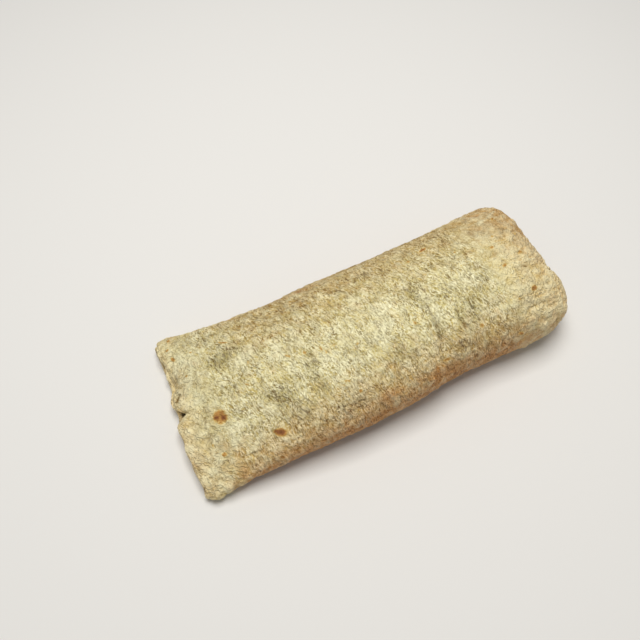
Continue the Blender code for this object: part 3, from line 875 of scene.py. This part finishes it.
class Nodes:
    """The node tree of one material, with short ways to add what the skin needs."""

    def __init__(self, name):
        self.material = bpy.data.materials.new(name)
        self.material.use_nodes = True
        self.tree = self.material.node_tree
        self.shader = self.tree.nodes["Principled BSDF"]

    def plug(self, value, socket):
        """Links a socket to another, or sets it to a value."""
        if isinstance(value, bpy.types.NodeSocket):
            self.tree.links.new(value, socket)
        elif isinstance(value, tuple) and socket.type == "RGBA":
            socket.default_value = (*value, 1.0)
        else:
            socket.default_value = value

    def mark(self, name, output="Fac"):
        """One of the mesh's named values."""
        node = self.tree.nodes.new("ShaderNodeAttribute")
        node.attribute_name = name
        return node.outputs[output]

    def maths(self, operation, *values):
        node = self.tree.nodes.new("ShaderNodeMath")
        node.operation = operation
        for value, socket in zip(values, node.inputs):
            self.plug(value, socket)
        return node.outputs[0]

    def total(self, *values):
        """Each value is a socket, or a socket and its share."""
        whole = 0.0
        for value in values:
            value, share = value if isinstance(value, tuple) else (value, 1.0)
            whole = self.maths("MULTIPLY_ADD", value, share, whole)
        return whole

    def step(self, value, low, high):
        """0 at low, 1 at high, and smooth between."""
        node = self.tree.nodes.new("ShaderNodeMapRange")
        node.interpolation_type = "SMOOTHSTEP"
        for amount, name in ((value, "Value"), (low, "From Min"), (high, "From Max")):
            self.plug(amount, node.inputs[name])
        return node.outputs["Result"]

    def vector(self, operation, first, second):
        node = self.tree.nodes.new("ShaderNodeVectorMath")
        node.operation = operation
        self.plug(first, node.inputs[0])
        self.plug(second, node.inputs[1])
        return node.outputs[0]

    def noise(self, places, size, seed, detail=2.0, rough=0.5, output="Fac"):
        """Noise about 0.5, whose features have this size along u and v, in millimetres."""
        shifted = self.vector("ADD", places, (31.7 * seed, 17.9 * seed, 5.3 * seed))
        scaled = self.vector("MULTIPLY", shifted, (1.0 / size[0], 1.0 / size[1], 1.0))
        node = self.tree.nodes.new("ShaderNodeTexNoise")
        self.plug(scaled, node.inputs["Vector"])
        for name, amount in (("Scale", 1.0), ("Detail", detail), ("Roughness", rough)):
            node.inputs[name].default_value = amount
        return node.outputs[output]

    def lines(self, places, size, seed, width):
        """1 on thin winding lines, falling off to 0 between them."""
        off = self.maths("ABSOLUTE", self.maths("SUBTRACT", self.noise(places, size, seed, 1.0), 0.5))
        return self.step(off, width, 0.0)

    def flecks(self, places, size, seed, low, high):
        """1 on scattered flecks, falling off to 0 between them."""
        return self.step(self.noise(places, size, seed), low, high)

    def product(self, *values):
        """All the values multiplied together."""
        whole = values[0]
        for value in values[1:]:
            whole = self.maths("MULTIPLY", whole, value)
        return whole

    def largest(self, *values):
        """The largest of the values."""
        whole = values[0]
        for value in values[1:]:
            whole = self.maths("MAXIMUM", whole, value)
        return whole

    def tinted(self, colour, tint, *shares):
        """The colour multiplied by the tint, as far as all shares say."""
        return self.blend(self.product(*shares), colour, tint, "MULTIPLY")

    def blend(self, share, low, high, kind="MIX"):
        node = self.tree.nodes.new("ShaderNodeMix")
        node.data_type = "RGBA"
        node.blend_type = kind
        for value, socket in ((share, node.inputs[0]), (low, node.inputs[6]), (high, node.inputs[7])):
            self.plug(value, socket)
        return node.outputs[2]


def strand_places(nodes, skin):
    """The places on the skin, slanted and drifting as its strands do."""
    drift = nodes.noise(skin, DRIFT_SIZE, 1, output="Color")
    drift = nodes.vector("MULTIPLY", nodes.vector("SUBTRACT", drift, (0.5, 0.5, 0.5)), DRIFT)
    parts = nodes.tree.nodes.new("ShaderNodeSeparateXYZ")
    nodes.plug(skin, parts.inputs[0])
    slant = nodes.vector("MULTIPLY", nodes.maths("MULTIPLY", parts.outputs["Y"], SLANT), (1.0, 0.0, 0.0))
    return nodes.vector("ADD", nodes.vector("ADD", skin, slant), drift)


def field(nodes, skin, drifted, sizes):
    """How far a broad field has set in."""
    (mark, share), (broad, broad_seed, broad_share), (fine, fine_seed, fine_share), offset, edges = sizes
    whole = nodes.total(
        (nodes.mark(mark), share),
        (nodes.noise(skin, broad, broad_seed), broad_share),
        (nodes.noise(drifted, fine, fine_seed), fine_share),
        offset,
    )
    return nodes.step(whole, *edges)


def broad_colour(nodes, skin, drifted, wet):
    """The dough's own colour, with its thin, yellow, damp and dun parts and its bloom of flour."""
    colour = nodes.tinted(CREAM, THIN, nodes.mark("streaked"))
    colour = nodes.tinted(colour, YELLOW, field(nodes, skin, drifted, YELLOW_FIELD))
    colour = nodes.tinted(colour, OLIVE, wet)
    colour = nodes.tinted(colour, DUN, field(nodes, skin, drifted, DUN_FIELD))
    bloom = field(nodes, skin, drifted, BLOOM_FIELD)
    return nodes.blend(nodes.product(bloom, BLOOM_SHARE), colour, BLOOM)


def fine_pattern(nodes, skin, drifted, wet):
    """The pale strands of flour and the hollows between them, stretched round the middle of the roll."""
    streaked = nodes.mark("streaked")
    long_strands = nodes.product(nodes.lines(drifted, *LONG_STRANDS), streaked)
    pale = nodes.largest(long_strands, nodes.lines(drifted, *STRANDS), nodes.flecks(drifted, *FLECKS))
    grooves = nodes.product(nodes.flecks(drifted, *GROOVES), streaked)
    hollow = nodes.largest(nodes.flecks(drifted, *PITS), grooves)

    # Towards the ends they give way to soft puffs with thin outlines, the outlines darkened in the colour as
    # painted shade, and threads that run any way
    calm = nodes.maths("SUBTRACT", 1.0, streaked)
    fading = nodes.total((streaked, 0.55), 0.45)
    puffs = nodes.product(nodes.flecks(skin, *PUFFS), 0.60)
    puffs = nodes.product(nodes.largest(puffs, nodes.lines(skin, *THREADS)), calm)
    pale = nodes.largest(nodes.product(pale, fading), puffs)
    dimples = nodes.product(nodes.flecks(skin, *DIMPLES), 0.8)
    outlines = nodes.product(nodes.largest(nodes.lines(skin, *OUTLINES), dimples), calm, 0.85)
    hollow = nodes.largest(nodes.product(hollow, fading), outlines)

    # Hollows are shallow under a pale strand, and where the dough is dry
    dry = nodes.maths("SUBTRACT", 1.0, nodes.product(pale, 0.7))
    return pale, nodes.product(hollow, dry, nodes.total((wet, 0.35), 0.65))


def patterned(nodes, drifted, pale, hollow, colour):
    """The hollows darkened, partly the dough's darker specks and partly painted shade, and the floury strands
    laid over the dough's colour.
    """
    strong = nodes.total((nodes.mark("streaked"), 0.10), 0.90)
    floury = nodes.total((nodes.noise(drifted, FLOUR_SIZE, 6), 1.8), (nodes.mark("damp"), -0.45), -0.10)
    least, most = FLOUR_RANGE
    floury = nodes.maths("MINIMUM", nodes.largest(floury, least), most)
    # painted shade in the hollows, partly the dough's darker specks
    colour = nodes.tinted(colour, PIT_AND_SHADE, hollow, strong)
    return nodes.blend(nodes.product(pale, strong, floury), colour, FLOUR_AND_HIGHLIGHT)


def tan_shade_and_bounce(nodes, skin, drifted, colour, pale):
    """The skin turned brown towards its back, its front and its foot, less so on its pale strands, and pink
    at its ends: the back partly painted shade, the front, the foot and the pink partly painted bounce light.
    """
    uneven = nodes.total((nodes.noise(skin, *TINT_EDGE_BROAD), 0.8), (nodes.noise(drifted, *TINT_EDGE_FINE), 0.4), -0.6)
    for mark, tint, spared in TANS_SHADE_AND_BOUNCE:
        share = nodes.step(nodes.total(nodes.mark(mark), uneven), 0.0, 1.0)
        colour = nodes.tinted(colour, tint, share, nodes.total((pale, -spared), 1.0))
    # pink ends, partly painted warm bounce light
    return nodes.tinted(colour, ROSY_AND_BOUNCE, nodes.mark("rosy_and_bounce"))


def paint_relief_shading(nodes, skin, colour):
    """Painted shade in the valleys and creases of the relief, painted highlights on its crests and ridges."""
    texture, crease = nodes.mark("texture"), nodes.mark("crease")
    # painted shade in the valleys
    colour = nodes.tinted(colour, SHADE, nodes.step(texture, 0.1, -1.0))
    # painted highlight on the crests
    colour = nodes.blend(nodes.product(nodes.step(texture, 0.2, 1.3), 0.30), colour, FLOUR_AND_HIGHLIGHT)
    # painted shade in the creases
    colour = nodes.tinted(colour, PIT_AND_SHADE, nodes.step(crease, 0.1, 1.1), nodes.flecks(skin, *BREAKS))
    # painted highlight on the ridges
    return nodes.blend(nodes.product(nodes.step(crease, -0.1, -0.9), 0.45), colour, FLOUR_AND_HIGHLIGHT)


def toasted(nodes, skin, colour):
    """Toasted spots: brown, darker in the middle, with ragged edges and a faint halo."""
    toast = nodes.mark("toast")
    ragged = nodes.maths("SUBTRACT", nodes.noise(skin, RAGGED_SIZE, 11, 3.0, 0.65), 0.5)
    reach = nodes.product(nodes.step(toast, 0.02, 0.4), RAGGED_REACH)
    toast = nodes.maths("MULTIPLY_ADD", ragged, reach, toast)
    colour = nodes.blend(nodes.product(nodes.mark("halo"), HALO_SHARE), colour, STRAW)
    for tone, low, high, most in TOAST:
        colour = nodes.blend(nodes.product(nodes.step(toast, low, high), most), colour, tone)
    return colour


def fine_relief(nodes, skin, pale, hollow):
    """The bump of the strands and hollows, with the dough's grain and its crumples."""
    grain = nodes.noise(skin, (0.8, 0.9), 13, 2.0, 0.6)
    crumpled = nodes.total((nodes.mark("streaked"), -0.6), 1.1)  # more so at the calm ends
    crumples = nodes.product(nodes.lines(skin, *CRUMPLES), crumpled)
    bump = nodes.tree.nodes.new("ShaderNodeBump")
    bump.inputs["Strength"].default_value = 1.0
    bump.inputs["Distance"].default_value = BUMP_HEIGHT
    nodes.plug(nodes.total((pale, 0.30), (hollow, -0.6), (grain, 0.4), crumples), bump.inputs["Height"])
    return bump.outputs["Normal"]


def tortilla_material():
    """The flour tortilla: matt and mottled, toasted in spots and tan at its edges, with painted shade and
    highlights on its relief, and painted shade and bounce light towards its edges.
    """
    nodes = Nodes("tortilla")
    skin = nodes.mark("skin", "Vector")
    drifted = strand_places(nodes, skin)
    wet = field(nodes, skin, drifted, DAMP_FIELD)
    pale, hollow = fine_pattern(nodes, skin, drifted, wet)

    colour = broad_colour(nodes, skin, drifted, wet)
    colour = patterned(nodes, drifted, pale, hollow, colour)
    colour = tan_shade_and_bounce(nodes, skin, drifted, colour, pale)
    colour = paint_relief_shading(nodes, skin, colour)
    colour = toasted(nodes, skin, colour)
    rough = nodes.total((wet, -0.10), (nodes.noise(skin, (3.0, 3.0), 12), 0.20), 0.58)

    nodes.plug(colour, nodes.shader.inputs["Base Color"])
    nodes.plug(rough, nodes.shader.inputs["Roughness"])
    nodes.plug(fine_relief(nodes, skin, pale, hollow), nodes.shader.inputs["Normal"])
    nodes.shader.inputs["Specular IOR Level"].default_value = SHINE
    return nodes.material


# ======== Studio ========

CAMERA_PLACE = (-0.1068, -0.1537, 0.3310)
CAMERA_PITCH = 31.3  # degrees up from straight down
CAMERA_YAW = -26.64  # degrees round from +Y
CAMERA_LENS = 36.06
NEAREST = 0.01  # the camera shows nothing nearer than this
FLOOR_SIDE = 4.0
FLOOR_DROP = 0.0002  # the floor's gap below the burrito
FLOOR_COLOUR = (0.78, 0.77, 0.75, 1.0)
FLOOR_ROUGHNESS = 0.9
KEY_PLACE = (0.01, 0.13, 1.00)
KEY_SIDE = 0.60
KEY_POWER = 9.2  # watts
KEY_COLOUR = (1.0, 0.98, 0.94)
SKY_COLOUR = (1.0, 1.0, 1.0, 1.0)
SKY_STRENGTH = 0.25


def make_floor():
    bpy.ops.mesh.primitive_plane_add(size=FLOOR_SIDE, location=(0.0, 0.0, -FLOOR_DROP))
    floor = bpy.context.object
    floor.name = "floor"
    material = bpy.data.materials.new("floor")
    material.use_nodes = True
    shader = material.node_tree.nodes["Principled BSDF"]
    shader.inputs["Base Color"].default_value = FLOOR_COLOUR
    shader.inputs["Roughness"].default_value = FLOOR_ROUGHNESS
    floor.data.materials.append(material)
    return floor


def make_lamp():
    """A square soft light that faces the burrito."""
    lamp = bpy.data.lights.new("key", "AREA")
    lamp.size = KEY_SIDE
    lamp.energy = KEY_POWER
    lamp.color = KEY_COLOUR
    holder = bpy.data.objects.new("key", lamp)
    holder.location = KEY_PLACE
    holder.rotation_euler = (-Vector(KEY_PLACE)).to_track_quat("-Z", "Y").to_euler()
    bpy.context.scene.collection.objects.link(holder)


def make_world():
    world = bpy.data.worlds.new("studio")
    bpy.context.scene.world = world
    world.use_nodes = True
    background = world.node_tree.nodes["Background"]
    background.inputs["Color"].default_value = SKY_COLOUR
    background.inputs["Strength"].default_value = SKY_STRENGTH


def make_camera():
    lens = bpy.data.cameras.new("camera")
    lens.lens = CAMERA_LENS
    lens.clip_start = NEAREST
    camera = bpy.data.objects.new("camera", lens)
    camera.location = CAMERA_PLACE
    camera.rotation_euler = (math.radians(CAMERA_PITCH), 0.0, math.radians(CAMERA_YAW))
    bpy.context.scene.collection.objects.link(camera)
    bpy.context.scene.camera = camera


tortilla = make_tortilla()
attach(tortilla, "root")
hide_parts("burrito")
make_floor()
make_world()
make_lamp()
make_camera()
bpy.context.scene.view_settings.view_transform = "Standard"
